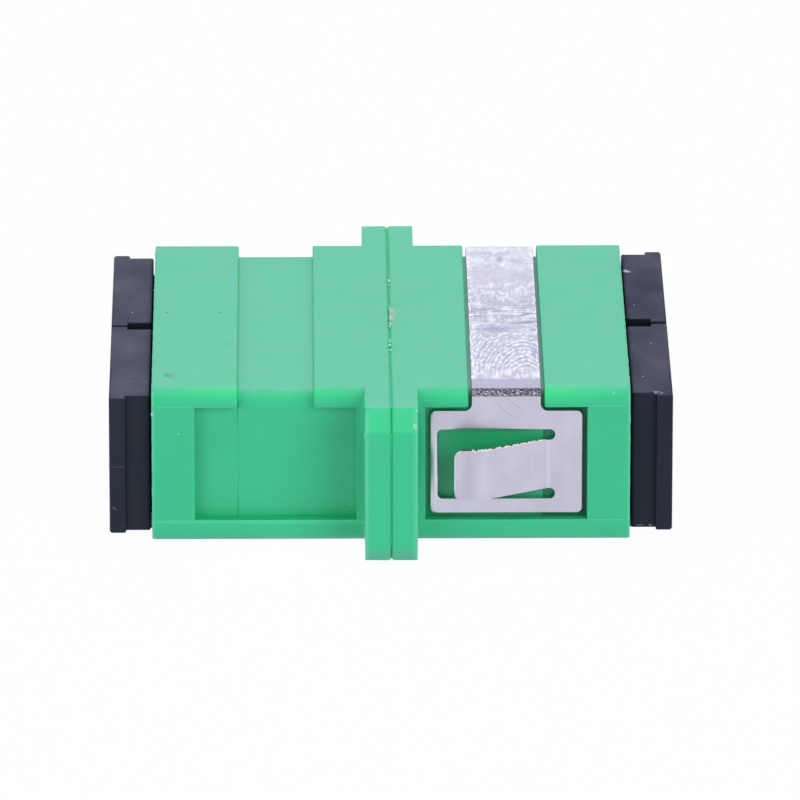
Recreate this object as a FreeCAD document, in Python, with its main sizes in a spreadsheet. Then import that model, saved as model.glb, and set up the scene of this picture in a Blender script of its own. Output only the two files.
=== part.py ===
import FreeCAD, Part
import math
import os
import Sketcher
from types import SimpleNamespace
from FreeCAD import Placement, Rotation, Vector

# Duplex fibre adapter for push-pull square plugs: two identical housing halves welded at a flange,
# a latch holder in each of the four ports, a split sleeve in each pair of holders, one spring clip
# that locks the body in a panel, and a dust cap in every port.
#
# Frame: X along the plugs, Y across the two ports, Z up. The origin is on the underside, in the
# middle of the flange. All lengths are in millimetres.

SIZES = {
    # housing, one half of it
    "half_length": 13.7,
    "side_wall": 2.05,
    "roof_wall": 0.95,
    "edge_round": 0.94,
    "end_round": 0.12,
    "flange_half": 1.5,
    "screw_bore": 2.2,
    "ear_wall": 0.85,
    "ear_chamfer": 1.12,
    "ear_root": 0.25,
    "seam_round": 0.2,
    # ports and the seats of the latch holders
    "port_pitch": 12.7,
    "port_width": 9.0,
    "port_height": 7.4,
    "port_lead": 0.25,
    "key_width": 2.4,
    "key_length": 4.6,
    "seat_shoulder": 0.85,
    "seat_clearance": 0.05,
    # locating pin of one half, which enters the socket of the other
    "pin_width": 1.0,
    "pin_rise": 1.9,
    "pin_clearance": 0.05,
    "socket_floor": 0.55,
    # recesses in the sides and channel over the top, where the clip lies
    "recess_land": 0.23,
    "recess_end_land": 2.48,
    "recess_floor": 1.44,
    "recess_rim": 1.04,
    "recess_depth": 0.8,
    "recess_step": 0.1,
    "channel_depth": 0.42,
    "channel_round": 0.9,
    # latch holder
    "plate_thickness": 1.1,
    "barrel_wall": 0.65,
    "barrel_reach": 0.8,
    "barrel_chamfer": 0.35,
    "lip_clearance": 0.2,
    "lip_chamfer": 0.2,
    "arm_thickness": 0.8,
    "arm_gap": 0.6,
    "arm_height": 3.6,
    "arm_setback": 4.3,
    "hook_depth": 0.6,
    "hook_land": 0.4,
    "hook_length": 1.4,
    # split sleeve
    "ferrule_bore": 2.5,
    "sleeve_wall": 0.35,
    "sleeve_length": 11.4,
    "sleeve_slit": 0.4,
    "sleeve_chamfer": 0.15,
    "sleeve_clearance": 0.05,
    # panel clip
    "clip_thickness": 0.3,
    "clip_bend": 0.1,
    "clip_clearance": 0.02,
    "strip_width": 3.98,
    "strip_clearance": 0.19,
    "wing_clearance": 0.1,
    "wing_margin": 0.25,
    "wing_drop": 0.32,
    "wing_round": 0.35,
    "neck_round": 0.4,
    "window_border": 0.46,
    "window_sill": 0.89,
    "window_lintel": 1.16,
    "window_post": 1.58,
    "window_round": 0.29,
    "tongue_slot": 0.61,
    "tongue_root": 0.42,
    "tongue_rise": 1.95,
    "tongue_tip": 1.67,
    "tongue_end_slot": 0.91,
    "tongue_bend": 1.2,
    "tip_round": 0.42,
    # dust cap
    "cap_gap": 0.1,
    "cap_spacing": 0.5,
    "cap_reveal": 0.525,
    "cap_flare": 0.45,
    "cap_plate_thickness": 0.95,
    "cap_round": 0.15,
    "neck_length": 1.4,
    "plug_wall": 0.75,
    "plug_side_clearance": 0.2,
    "plug_top_clearance": 0.15,
    "plug_end_clearance": 0.4,
    "plug_chamfer": 0.3,
    "cap_slack": 0.05,
}

doc = FreeCAD.newDocument("fibre_adapter")
sheet = doc.addObject("Spreadsheet::Sheet", "sizes")
for line, (word, length) in enumerate(SIZES.items(), 1):
    sheet.set(f"A{line}", word)
    sheet.set(f"B{line}", str(length))
    sheet.setAlias(f"B{line}", word)
doc.recompute()


class Size:
    """A length, kept both as its number and as the sheet formula that gives it."""

    def __init__(self, value, formula):
        self.value = value
        self.formula = formula

    def with_other(self, other, sign, value):
        text = other.formula if isinstance(other, Size) else str(other)
        return Size(value, f"({self.formula} {sign} {text})")

    def __add__(self, other):
        return self.with_other(other, "+", self.value + number(other))

    def __sub__(self, other):
        return self.with_other(other, "-", self.value - number(other))

    def __mul__(self, other):
        return self.with_other(other, "*", self.value * number(other))

    def __truediv__(self, other):
        return self.with_other(other, "/", self.value / number(other))

    def __neg__(self):
        return Size(-self.value, f"(0 - {self.formula})")


def number(size):
    """The plain number of a Size, or the number itself."""
    return size.value if isinstance(size, Size) else size


ZERO = Size(0.0, "0")
s = SimpleNamespace(**{word: Size(length, f"sizes.{word}") for word, length in SIZES.items()})

# Places and sizes that more than one piece reads.
port_offset = s.port_pitch / 2
half_width = port_offset + s.port_width / 2 + s.side_wall
body_height = s.port_height + s.roof_wall * 2
port_rise = body_height / 2
seat_width = s.port_width + s.seat_shoulder * 2
sleeve_radius = s.ferrule_bore / 2 + s.sleeve_wall
holder_tip = s.half_length - s.arm_setback
recess_start = s.flange_half + s.ear_root + s.recess_land
recess_end = s.half_length - s.recess_end_land
recess_top = body_height - s.recess_rim
recess_face = half_width - s.recess_depth
clip_centre = (recess_start + recess_end) / 2
channel_floor = body_height - s.channel_depth


def new_body(label):
    body = doc.addObject("PartDesign::Body", label)
    body.Label = label
    return body


def new_sketch(body, label, plane, offset=None):
    """A sketch on one of the body's own origin planes, moved along its normal by offset."""
    sketch = body.newObject("Sketcher::SketchObject", f"{body.Name}_{label}")
    support = next(item for item in body.Origin.OriginFeatures if item.Role == plane)
    sketch.AttachmentSupport = [(support, "")]
    sketch.MapMode = "FlatFace"
    if offset is not None:
        sketch.setExpression("AttachmentOffset.Base.z", offset.formula)
    return sketch


def hold_point(sketch, curve, end, across, up):
    """Dimensions one end of a curve from the sketch's origin, with both lengths from the sheet."""
    for kind, size in (("DistanceX", across), ("DistanceY", up)):
        rule = sketch.addConstraint(Sketcher.Constraint(kind, -1, 1, curve, end, size.value))
        sketch.setExpression(f"Constraints[{rule}]", size.formula)


def turned(corners):
    """Cuts the rounded corners of an outline: each becomes the two ends and the radius of an arc."""
    points = []
    for index, corner in enumerate(corners):
        across, up = corner[:2]
        if len(corner) == 2:
            points.append((across, up, None))
            continue
        radius = corner[2]
        before = corners[index - 1]
        after = corners[(index + 1) % len(corners)]
        ways = []
        for other in (before, after):
            step_x = other[0].value - across.value
            step_y = other[1].value - up.value
            level = abs(step_x) > abs(step_y)
            step = step_x if level else step_y
            ways.append((level, radius if step > 0 else -radius))
        ends = [(across + step, up) if level else (across, up + step) for level, step in ways]
        middle_x = across.value + sum(step.value for level, step in ways if level)
        middle_y = up.value + sum(step.value for level, step in ways if not level)
        points.append((*ends[0], (radius, Vector(middle_x, middle_y, 0))))
        points.append((*ends[1], None))
    return points


def outline(sketch, corners):
    """Draws a closed outline. A corner is (across, up), or (across, up, radius) where it is rounded."""
    points = turned(corners)
    first = sketch.GeometryCount
    for index, (across, up, arc) in enumerate(points):
        start = Vector(across.value, up.value, 0)
        end = Vector(*[item.value for item in points[(index + 1) % len(points)][:2]], 0)
        if arc is None:
            sketch.addGeometry(Part.LineSegment(start, end))
            continue
        radius, middle = arc
        crown = middle + ((start + end) / 2 - middle).normalize() * radius.value
        sketch.addGeometry(Part.Arc(start, crown, end))
    for index, (across, up, arc) in enumerate(points):
        curve = first + index
        following = first + (index + 1) % len(points)
        start = Vector(across.value, up.value, 0)
        ends = (1, 2) if near(sketch.getPoint(curve, 1), start) else (2, 1)
        opening = 1 if near(sketch.getPoint(following, 1), sketch.getPoint(curve, ends[1])) else 2
        sketch.addConstraint(Sketcher.Constraint("Coincident", curve, ends[1], following, opening))
        hold_point(sketch, curve, ends[0], across, up)
        if arc is not None:
            rule = sketch.addConstraint(Sketcher.Constraint("Radius", curve, arc[0].value))
            sketch.setExpression(f"Constraints[{rule}]", arc[0].formula)


def near(one, other):
    return (one - other).Length < 1e-6


def box_outline(sketch, left, bottom, right, top, *radius):
    """A closed upright rectangle, with its corners rounded where a radius is given."""
    corners = ((left, bottom), (right, bottom), (right, top), (left, top))
    outline(sketch, [(*corner, *radius) for corner in corners])


def circle(sketch, across, up, diameter):
    middle = Vector(across.value, up.value, 0)
    curve = sketch.addGeometry(Part.Circle(middle, Vector(0, 0, 1), diameter.value / 2))
    hold_point(sketch, curve, 3, across, up)
    rule = sketch.addConstraint(Sketcher.Constraint("Diameter", curve, diameter.value))
    sketch.setExpression(f"Constraints[{rule}]", diameter.formula)


def feature(body, kind, label, sketch, length, backwards=False, both_ways=False):
    """A pad or pocket of the sketch by a length, checked by the volume that it adds or takes."""
    before = body.Shape.Volume if body.Shape and not body.Shape.isNull() else 0.0
    made = body.newObject(f"PartDesign::{kind}", f"{body.Name}_{label}")
    made.Profile = sketch
    made.setExpression("Length", length.formula)
    made.Length = length.value
    made.Reversed = backwards
    made.Midplane = both_ways
    doc.recompute()
    change = body.Shape.Volume - before
    if (change > 0) != (kind == "Pad") or abs(change) < 1e-6:
        raise ValueError(f"{made.Name} changes the volume by {change}")
    return made


def dress(body, kind, label, size, test):
    """A fillet or chamfer on every edge of the body's tip that the test picks."""
    base = body.Tip
    edges = [f"Edge{n}" for n, edge in enumerate(base.Shape.Edges, 1) if test(edge.BoundBox)]
    made = body.newObject(f"PartDesign::{kind}", f"{body.Name}_{label}")
    made.Base = (base, edges)
    made.setExpression("Radius" if kind == "Fillet" else "Size", size.formula)
    doc.recompute()
    return made


def in_plane(low, high, place):
    return abs(low - place.value) < 1e-4 and abs(high - place.value) < 1e-4


def mirror_across(body, label, features):
    """Repeats features on the other side of the plane Y = 0."""
    made = body.newObject("PartDesign::Mirrored", f"{body.Name}_{label}")
    made.Originals = features
    plane = next(item for item in body.Origin.OriginFeatures if item.Role == "XZ_Plane")
    made.MirrorPlane = (plane, [""])
    body.Tip = made
    doc.recompute()
    return made


def place(body, x, y, z, turn):
    """Puts a finished body at (x, y, z), turned about Z by a number of degrees."""
    body.Placement = Placement(Vector(x.value, y.value, z.value), Rotation(Vector(0, 0, 1), turn))
    for axis, size in (("x", x), ("y", y), ("z", z)):
        body.setExpression(f"Placement.Base.{axis}", size.formula)


def housing_half(label, turn):
    """One half of the housing, in the place of the right one: body, flange, ports, seats, recesses."""
    body = new_body(label)

    section = new_sketch(body, "section", "YZ_Plane")
    box_outline(section, -half_width, ZERO, half_width, body_height, s.edge_round)
    feature(body, "Pad", "shell", section, s.half_length)

    flange = new_sketch(body, "flange_outline", "YZ_Plane")
    screw_offset = half_width + s.ear_wall + s.screw_bore / 2
    reach = screw_offset + s.screw_bore / 2 + s.ear_wall
    inner = reach - s.ear_chamfer
    top_cut = body_height - s.ear_chamfer
    outline(flange, [
        (-inner, ZERO), (inner, ZERO), (reach, s.ear_chamfer), (reach, top_cut),
        (inner, body_height), (-inner, body_height), (-reach, top_cut), (-reach, s.ear_chamfer),
    ])
    feature(body, "Pad", "flange", flange, s.flange_half)

    dress(body, "Fillet", "seam_edge", s.seam_round, lambda box: in_plane(box.XMin, box.XMax, ZERO))
    dress(body, "Fillet", "end_edge", s.end_round,
          lambda box: in_plane(box.XMin, box.XMax, s.half_length))

    # A bevel thickens the root of each ear, from the flange's face down to the body's sides.
    root = new_sketch(body, "root_outline", "YZ_Plane", s.flange_half)
    flare = half_width + s.ear_root
    box_outline(root, -flare, ZERO, flare, body_height, s.edge_round + s.ear_root)
    bevel = feature(body, "Pad", "ear_roots", root, s.ear_root)
    bevel.TaperAngle = -45.0
    doc.recompute()

    # The two ports run right through, and widen at the seam into the seats of the latch holders.
    ports = new_sketch(body, "port_outline", "YZ_Plane")
    seats = new_sketch(body, "seat_outline", "YZ_Plane")
    keys = new_sketch(body, "key_outline", "YZ_Plane", s.half_length)
    port_floor = port_rise - s.port_height / 2
    port_roof = port_rise + s.port_height / 2
    for middle in (-port_offset, port_offset):
        half = s.port_width / 2
        box_outline(ports, middle - half, port_floor, middle + half, port_roof)
        half = seat_width / 2
        box_outline(seats, middle - half, port_floor, middle + half, port_roof)
        half = s.key_width / 2
        box_outline(keys, middle - half, -s.edge_round, middle + half, port_rise)
    feature(body, "Pocket", "ports", ports, s.half_length, backwards=True)

    def is_mouth(box):
        inside = box.ZMin > port_floor.value - 1e-4 and box.ZMax < port_roof.value + 1e-4
        return in_plane(box.XMin, box.XMax, s.half_length) and inside

    dress(body, "Chamfer", "port_lead", s.port_lead, is_mouth)
    seat_depth = s.plate_thickness + s.seat_clearance
    feature(body, "Pocket", "seats", seats, seat_depth, backwards=True)
    feature(body, "Pocket", "keyways", keys, s.key_length)

    # The clip's recess in each side, a little deeper towards the end, and its channel over the top.
    channel_width = s.strip_width + s.strip_clearance * 2
    channel_start = clip_centre - channel_width / 2
    channel_end = clip_centre + channel_width / 2
    recess = new_sketch(body, "recess_outline", "XZ_Plane", half_width)
    box_outline(recess, recess_start, s.recess_floor, recess_end, recess_top)
    shallow = feature(body, "Pocket", "recess", recess, s.recess_depth)
    step = new_sketch(body, "step_outline", "XZ_Plane", half_width)
    box_outline(step, channel_end, s.recess_floor, recess_end, recess_top)
    deep = feature(body, "Pocket", "recess_step", step, s.recess_depth + s.recess_step)
    mirror_across(body, "recess_pair", [shallow, deep])

    channel = new_sketch(body, "channel_outline", "YZ_Plane", channel_start)
    above = body_height + s.channel_depth
    beyond = half_width + s.channel_depth
    outline(channel, [
        (-recess_face, s.recess_floor), (-recess_face, channel_floor, s.channel_round),
        (recess_face, channel_floor, s.channel_round), (recess_face, s.recess_floor),
        (beyond, s.recess_floor), (beyond, above), (-beyond, above), (-beyond, s.recess_floor),
    ])
    feature(body, "Pocket", "channel", channel, channel_width, backwards=True)

    # Screw holes through the ears, and the pin and socket that line the two halves up.
    screws = new_sketch(body, "screw_outline", "YZ_Plane")
    for middle in (-screw_offset, screw_offset):
        circle(screws, middle, port_rise, s.screw_bore)
    feature(body, "Pocket", "screw_holes", screws, s.flange_half, backwards=True)
    socket_depth = s.flange_half - s.socket_floor
    socket = new_sketch(body, "socket_outline", "YZ_Plane")
    circle(socket, -half_width, s.pin_rise, s.pin_width + s.pin_clearance * 2)
    feature(body, "Pocket", "socket", socket, socket_depth, backwards=True)
    pin = new_sketch(body, "pin_outline", "YZ_Plane")
    circle(pin, half_width, s.pin_rise, s.pin_width)
    feature(body, "Pad", "pin", pin, socket_depth - s.pin_clearance, backwards=True)

    place(body, ZERO, ZERO, ZERO, turn)
    return body


def latch_holder(label, y, turn):
    """A holder for one port: plate in the seat, barrel round half the sleeve, two hooked arms."""
    body = new_body(label)
    half_plate = seat_width / 2 - s.seat_clearance
    half_high = s.port_height / 2 - s.seat_clearance
    plate = new_sketch(body, "plate_outline", "YZ_Plane")
    box_outline(plate, -half_plate, -half_high, half_plate, half_high)
    feature(body, "Pad", "plate", plate, s.plate_thickness)

    bore_depth = s.sleeve_length / 2 + s.sleeve_clearance
    bore_width = (sleeve_radius + s.sleeve_clearance) * 2
    barrel_width = bore_width + s.barrel_wall * 2
    barrel_end = bore_depth + s.barrel_reach
    barrel = new_sketch(body, "barrel_outline", "YZ_Plane")
    circle(barrel, ZERO, ZERO, barrel_width)
    feature(body, "Pad", "barrel", barrel, barrel_end)

    # Hooked arms beside the barrel, stopping short of the port's wall so that they can spread.
    outer = s.port_width / 2 - s.arm_gap
    inner = outer - s.arm_thickness
    catch = holder_tip - s.hook_length
    arm = new_sketch(body, "arm_outline", "XY_Plane")
    outline(arm, [
        (s.plate_thickness / 2, inner), (catch, inner), (catch, inner - s.hook_depth),
        (catch + s.hook_land, inner - s.hook_depth), (holder_tip, inner + s.arm_thickness / 4),
        (holder_tip, outer), (s.plate_thickness / 2, outer),
    ])
    first = feature(body, "Pad", "arm", arm, s.arm_height, both_ways=True)
    mirror_across(body, "arm_pair", [first])

    sleeve_bore = new_sketch(body, "sleeve_bore_outline", "YZ_Plane")
    circle(sleeve_bore, ZERO, ZERO, bore_width)
    feature(body, "Pocket", "sleeve_bore", sleeve_bore, bore_depth, backwards=True)
    lip_width = s.ferrule_bore + s.lip_clearance * 2
    lip = new_sketch(body, "lip_outline", "YZ_Plane")
    circle(lip, ZERO, ZERO, lip_width)
    feature(body, "Pocket", "lip", lip, barrel_end, backwards=True)

    def is_rim(box, width):
        round_rim = abs(box.YMax - box.YMin - width.value) < 1e-3
        return in_plane(box.XMin, box.XMax, barrel_end) and round_rim

    dress(body, "Chamfer", "barrel_nose", s.barrel_chamfer, lambda box: is_rim(box, barrel_width))
    dress(body, "Chamfer", "lip_lead", s.lip_chamfer, lambda box: is_rim(box, lip_width))
    place(body, ZERO, y, port_rise, turn)
    return body


def split_sleeve(label, y):
    """A thin ceramic tube, slit along its whole length, that grips the two ferrules."""
    body = new_body(label)
    ring = new_sketch(body, "ring", "YZ_Plane")
    circle(ring, ZERO, ZERO, sleeve_radius * 2)
    circle(ring, ZERO, ZERO, s.ferrule_bore)
    feature(body, "Pad", "tube", ring, s.sleeve_length, both_ways=True)
    ends = s.sleeve_length / 2

    def is_mouth(box):
        at_end = in_plane(abs(box.XMin), abs(box.XMax), ends)
        return at_end and abs(box.YMax - box.YMin - s.ferrule_bore.value) < 1e-3

    dress(body, "Chamfer", "lead", s.sleeve_chamfer, is_mouth)
    slit = new_sketch(body, "slit_outline", "XY_Plane")
    half = s.sleeve_slit / 2
    box_outline(slit, -s.sleeve_length, -half, s.sleeve_length, half)
    feature(body, "Pocket", "slit", slit, s.ferrule_bore, backwards=True)
    place(body, ZERO, y, port_rise, 0)
    return body


def half_bend(rise, run):
    """Tangent of half the angle of a slope, which is where the mitre of a bend in a sheet falls."""
    value = math.tan(math.atan(rise.value / run.value) / 2)
    return Size(value, f"tan(atan({rise.formula} / {run.formula}) / 2)")


def panel_clip(label):
    """One folded strip of spring steel: over the top, down both sides, a tongue cut in each wing."""
    body = new_body(label)
    back = recess_face + s.wing_clearance
    face = back + s.clip_thickness
    seat = channel_floor + s.clip_clearance
    crest = seat + s.clip_thickness
    outer_bend = s.clip_bend + s.clip_thickness
    neck_top = crest - outer_bend
    strip_start = clip_centre - s.strip_width / 2
    strip_end = clip_centre + s.strip_width / 2
    wing_start = recess_start + s.wing_margin
    wing_end = recess_end - s.wing_margin
    wing_floor = s.recess_floor + s.wing_margin
    wing_top = recess_top - s.wing_drop

    fold = new_sketch(body, "fold", "YZ_Plane", strip_start)
    outline(fold, [
        (-face, wing_top), (-face, crest, outer_bend), (face, crest, outer_bend), (face, wing_top),
        (back, wing_top), (back, seat, s.clip_bend), (-back, seat, s.clip_bend), (-back, wing_top),
    ])
    feature(body, "Pad", "strip", fold, s.strip_width)

    wing = new_sketch(body, "wing_outline", "XZ_Plane", face)
    outline(wing, [
        (wing_start, wing_floor, s.wing_round), (wing_end, wing_floor, s.wing_round),
        (wing_end, wing_top, s.wing_round), (strip_end, wing_top, s.neck_round),
        (strip_end, neck_top), (strip_start, neck_top),
        (strip_start, wing_top, s.neck_round), (wing_start, wing_top, s.wing_round),
    ])
    window_start = wing_start + s.window_border
    window_end = wing_end - s.window_post
    window_floor = wing_floor + s.window_sill
    window_top = wing_top - s.window_lintel
    tongue_floor = window_floor + s.tongue_slot
    tongue_top = window_top - s.tongue_slot
    root = window_end - s.tongue_root
    outline(wing, [
        (window_start, window_floor, s.window_round), (window_end, window_floor, s.window_round),
        (window_end, tongue_floor, s.window_round), (root, tongue_floor), (root, tongue_top),
        (window_end, tongue_top, s.window_round), (window_end, window_top, s.window_round),
        (window_start, window_top, s.window_round),
    ])
    plate = feature(body, "Pad", "wing", wing, s.clip_thickness, backwards=True)

    # The tongue leans out from its root, then runs level again to its free end.
    free = window_start + s.tongue_end_slot
    knee = free + s.tongue_tip
    out_face = face + s.tongue_rise
    out_back = out_face - s.clip_thickness
    mitre = s.clip_thickness * half_bend(s.tongue_rise, root - knee)
    tongue = new_sketch(body, "tongue_outline", "XY_Plane", tongue_floor)
    outline(tongue, [
        (root, -face), (knee, -out_face), (free, -out_face), (free, -out_back),
        (knee + mitre, -out_back), (root + mitre, -back), (window_end, -back), (window_end, -face),
    ])
    leaf = feature(body, "Pad", "tongue", tongue, tongue_top - tongue_floor)
    mirror_across(body, "wing_pair", [plate, leaf])

    def is_knee(box, x, y):
        upright = in_plane(box.XMin, box.XMax, x)
        return upright and in_plane(abs(box.YMin), abs(box.YMax), y)

    outer_knee = s.tongue_bend + s.clip_thickness
    dress(body, "Fillet", "knee", outer_knee, lambda box: is_knee(box, knee, out_face))
    dress(body, "Fillet", "hollow", s.tongue_bend, lambda box: is_knee(box, knee + mitre, out_back))

    def is_tip(box):
        across = box.YMax - box.YMin
        at_end = in_plane(box.XMin, box.XMax, free)
        return at_end and abs(across - s.clip_thickness.value) < 1e-3

    dress(body, "Fillet", "tips", s.tip_round, is_tip)
    return body


def dust_cap(label, y, sag, side):
    """A hollow cap: plug in the port, neck outside it, wider finger plate. side is 1 right, -1 left.

    sag is how far it hangs below the middle of its port.
    """
    body = new_body(label)
    start = s.cap_gap
    half_plate = (s.port_pitch - s.cap_spacing) / 2
    half_neck = half_plate - s.cap_flare
    half_high = body_height / 2 - s.cap_reveal
    neck = new_sketch(body, "neck_outline", "YZ_Plane", start)
    box_outline(neck, -half_neck, -half_high, half_neck, half_high)
    feature(body, "Pad", "neck", neck, s.neck_length)

    plate = new_sketch(body, "plate_outline", "YZ_Plane", start + s.neck_length)
    box_outline(plate, -half_plate, -half_high, half_plate, half_high)
    feature(body, "Pad", "plate", plate, s.cap_plate_thickness)
    dress(body, "Fillet", "plate_edges", s.cap_round,
          lambda box: in_plane(box.XMin, box.XMax, start + s.neck_length + s.cap_plate_thickness))

    half_plug = s.port_width / 2 - s.plug_side_clearance
    plug_high = s.port_height / 2 - s.plug_top_clearance
    plug = new_sketch(body, "plug_outline", "YZ_Plane", start)
    box_outline(plug, -half_plug, -plug_high, half_plug, plug_high)
    plug_depth = s.half_length - holder_tip - s.plug_end_clearance
    feature(body, "Pad", "plug", plug, plug_depth + start, backwards=True)
    dress(body, "Chamfer", "plug_lead", s.plug_chamfer,
          lambda box: in_plane(box.XMin, box.XMax, -plug_depth))

    hollow = new_sketch(body, "hollow_outline", "YZ_Plane", start + s.neck_length)
    inner = half_plug - s.plug_wall
    inner_high = plug_high - s.plug_wall
    box_outline(hollow, -inner, -inner_high, inner, inner_high)
    feature(body, "Pocket", "hollow", hollow, s.neck_length + plug_depth + start)
    mouth = s.half_length if side > 0 else -s.half_length
    place(body, mouth, y, port_rise - sag, 0 if side > 0 else 180)
    return body


parts = [housing_half("housing_right", 0), housing_half("housing_left", 180)]
for row_name, middle in (("front", -port_offset), ("back", port_offset)):
    parts.append(latch_holder(f"latch_holder_right_{row_name}", middle, 0))
    parts.append(latch_holder(f"latch_holder_left_{row_name}", middle, 180))
    parts.append(split_sleeve(f"split_sleeve_{row_name}", middle))
parts.append(panel_clip("panel_clip"))

# The caps sit loosely: those on the left hang low and lean together, and only one on the right leans.
lean = s.plug_side_clearance - s.cap_slack
sag = s.plug_top_clearance - s.cap_slack
parts.append(dust_cap("dust_cap_right_front", lean - port_offset, ZERO, 1))
parts.append(dust_cap("dust_cap_right_back", port_offset, ZERO, 1))
parts.append(dust_cap("dust_cap_left_front", lean - port_offset, sag, -1))
parts.append(dust_cap("dust_cap_left_back", port_offset - lean, sag, -1))
doc.recompute()

for item in doc.Objects:
    if "Invalid" in item.State or "Error" in item.State:
        raise ValueError(f"{item.Name} failed: {item.State}")
for part in parts:
    shape = part.Shape
    if shape.isNull() or not shape.isValid() or len(shape.Solids) != 1:
        raise ValueError(f"{part.Label} is not one valid solid")

os.makedirs("parts", exist_ok=True)
for part in parts:
    part.Shape.exportStep(f"parts/{part.Label}.step")
    print(f"{part.Label}: {part.Shape.Volume:.2f} mm3")
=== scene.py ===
import math

import bmesh
import bpy
import numpy as np
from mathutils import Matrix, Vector


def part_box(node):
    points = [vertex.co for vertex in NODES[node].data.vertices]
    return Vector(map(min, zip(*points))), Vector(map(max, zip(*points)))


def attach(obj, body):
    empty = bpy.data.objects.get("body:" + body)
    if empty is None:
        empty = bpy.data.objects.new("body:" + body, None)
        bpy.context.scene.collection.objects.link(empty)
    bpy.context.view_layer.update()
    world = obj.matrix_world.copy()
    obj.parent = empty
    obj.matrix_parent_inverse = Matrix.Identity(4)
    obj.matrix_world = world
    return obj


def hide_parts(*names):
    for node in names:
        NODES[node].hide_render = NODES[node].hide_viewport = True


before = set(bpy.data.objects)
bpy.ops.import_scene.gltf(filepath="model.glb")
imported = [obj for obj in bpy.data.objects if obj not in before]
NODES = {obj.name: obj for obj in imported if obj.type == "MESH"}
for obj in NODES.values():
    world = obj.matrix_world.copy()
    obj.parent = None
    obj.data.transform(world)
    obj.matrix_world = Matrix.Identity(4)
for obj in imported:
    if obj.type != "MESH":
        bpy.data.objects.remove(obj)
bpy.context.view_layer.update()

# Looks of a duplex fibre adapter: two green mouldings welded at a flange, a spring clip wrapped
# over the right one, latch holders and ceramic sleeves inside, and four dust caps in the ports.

# ---------------------------------------------------------------------------------------------
# Camera. A long lens far away looks down on the long side from a little to the left, so that near
# and far edges keep nearly the same size.
# ---------------------------------------------------------------------------------------------
MM = 0.001
AIM = Vector((0.0, 0.0, 4.65)) * MM
DISTANCE = 708.0 * MM
ELEVATION = math.radians(20.07)
AZIMUTH = math.radians(-0.49)
SENSOR, LENS = 36.0, 546.8       # the sensor's width and the focal length, both in mm
SHIFT_X, SHIFT_Y = 0.0136, -0.0124

camera = bpy.data.objects.new("camera", bpy.data.cameras.new("camera"))
bpy.context.scene.collection.objects.link(camera)
camera.data.sensor_width = SENSOR
camera.data.lens = LENS
camera.data.shift_x = SHIFT_X
camera.data.shift_y = SHIFT_Y
camera.data.clip_end = 5.0
level = math.cos(ELEVATION)
out = Vector((level * math.sin(AZIMUTH), -level * math.cos(AZIMUTH), math.sin(ELEVATION)))
camera.location = AIM + out * DISTANCE
camera.rotation_euler = (-out).to_track_quat("-Z", "Y").to_euler()
bpy.context.scene.camera = camera


# ---------------------------------------------------------------------------------------------
# Studio. A pale sweep of paper in a white tent, lit by soft boxes: one high above, two in front,
# one at the left and one behind, whose cool daylight shows in the upper faces.
# ---------------------------------------------------------------------------------------------
def linear(hex_colour):
    """The linear colour of an sRGB hex value: each channel's curve is undone by the usual formula."""
    parts = [int(hex_colour[i:i + 2], 16) / 255 for i in (1, 3, 5)]
    return [p / 12.92 if p <= 0.04045 else ((p + 0.055) / 1.055) ** 2.4 for p in parts] + [1.0]


def add_node(tree, kind, settings=None, result=0, **inputs):
    """Adds a node with its settings and inputs, named or numbered i0, i1 and on: gives one output."""
    node = tree.nodes.new(kind)
    for word, value in (settings or {}).items():
        setattr(node, word, value)
    for word, value in inputs.items():
        numbered = word[0] == "i" and word[1:].isdigit()
        socket = node.inputs[int(word[1:]) if numbered else word.replace("_", " ")]
        if isinstance(value, bpy.types.NodeSocket):
            tree.links.new(value, socket)
        else:
            socket.default_value = value
    return node.outputs[result] if node.outputs else node


def new_material(name):
    """An empty node material and its tree."""
    material = bpy.data.materials.new(name)
    material.use_nodes = True
    material.node_tree.nodes.clear()
    return material, material.node_tree


COOL_WHITE = "#E3E0FC"   # the tent as gloss and metal mirror it
PAPER = "#F4F4F6"
PLAIN_WHITE = "#FFFFFF"
DIM_ROOM = 0.04          # how much light dull faces get from the tent's walls
FLOOR_SIZE = 3.0
FLOOR_WHITE = 0.97       # how much of the floor's own white the camera and mirrors see over its shadow
FLOOR_BOUNCE = 0.5       # how much of it lights the object, as the bright sweep round it does
GAP_MIDDLE = 13.76 * MM  # the gaps between the end faces and the caps' plates, out from the middle
GAP_HALF_WIDTH = 0.1 * MM
GAP_HALF_LENGTH = 10.3 * MM
GAP_WALLS = 1.0 * MM     # the floor of a gap is in shadow where walls stand this near
GAP_SHADE = (0.3, 0.45)  # openness at which that shadow is full, and at which it ends

world = bpy.data.worlds.new("studio")
bpy.context.scene.world = world
world.use_nodes = True
tree = world.node_tree
tree.nodes.clear()
rays = add_node(tree, "ShaderNodeLightPath").node.outputs
mirrored = add_node(tree, "ShaderNodeMath", {"operation": "MAXIMUM"}, i0=rays["Is Glossy Ray"],
                    i1=rays["Is Transmission Ray"])
room = add_node(tree, "ShaderNodeBackground", Color=linear(PLAIN_WHITE), Strength=DIM_ROOM)
tent = add_node(tree, "ShaderNodeBackground", Color=linear(COOL_WHITE), Strength=1.0)
backdrop = add_node(tree, "ShaderNodeBackground", Color=linear(PLAIN_WHITE), Strength=1.0)
dull = add_node(tree, "ShaderNodeMixShader", i0=mirrored, i1=room, i2=tent)
seen = add_node(tree, "ShaderNodeMixShader", i0=rays["Is Camera Ray"], i1=dull, i2=backdrop)
add_node(tree, "ShaderNodeOutputWorld", Surface=seen)

bpy.ops.mesh.primitive_plane_add(size=FLOOR_SIZE, location=(0, 0, 0))
floor = bpy.context.object
floor.name = "floor"

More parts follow.
